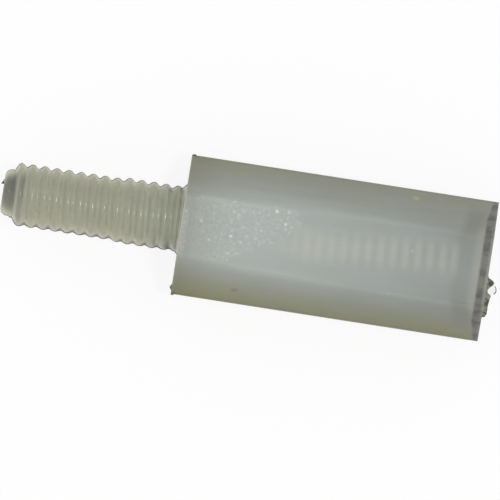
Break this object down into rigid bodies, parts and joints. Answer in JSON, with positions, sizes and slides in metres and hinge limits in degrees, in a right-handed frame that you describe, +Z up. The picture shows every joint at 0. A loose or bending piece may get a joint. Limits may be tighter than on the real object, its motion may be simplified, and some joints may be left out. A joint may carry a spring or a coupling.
{
  "type": "hex standoff",
  "caption": "Moulded natural nylon hex standoff: a hexagonal pillar with a threaded stud at one end and a blind screw hole at the other, lying on a flat.",
  "frame": {"origin": "on the axis of the hexagon, in the plane of the shoulder that seats on a panel", "axes": "+X along the axis of the hexagon, from the shoulder towards the mouth of the screw hole, with the stud on the -X side; +Z up, square to the flat it lies on; +Y towards a corner of the hexagon"},
  "size_m": [0.0253, 0.0072, 0.0064],
  "materials": {
    "natural_nylon": "moulded natural nylon, milky and slightly translucent, with a soft satin gloss"
  },
  "bodies": {
    "root": {"hex_standoff": "natural_nylon"}
  },
  "joints": []
}
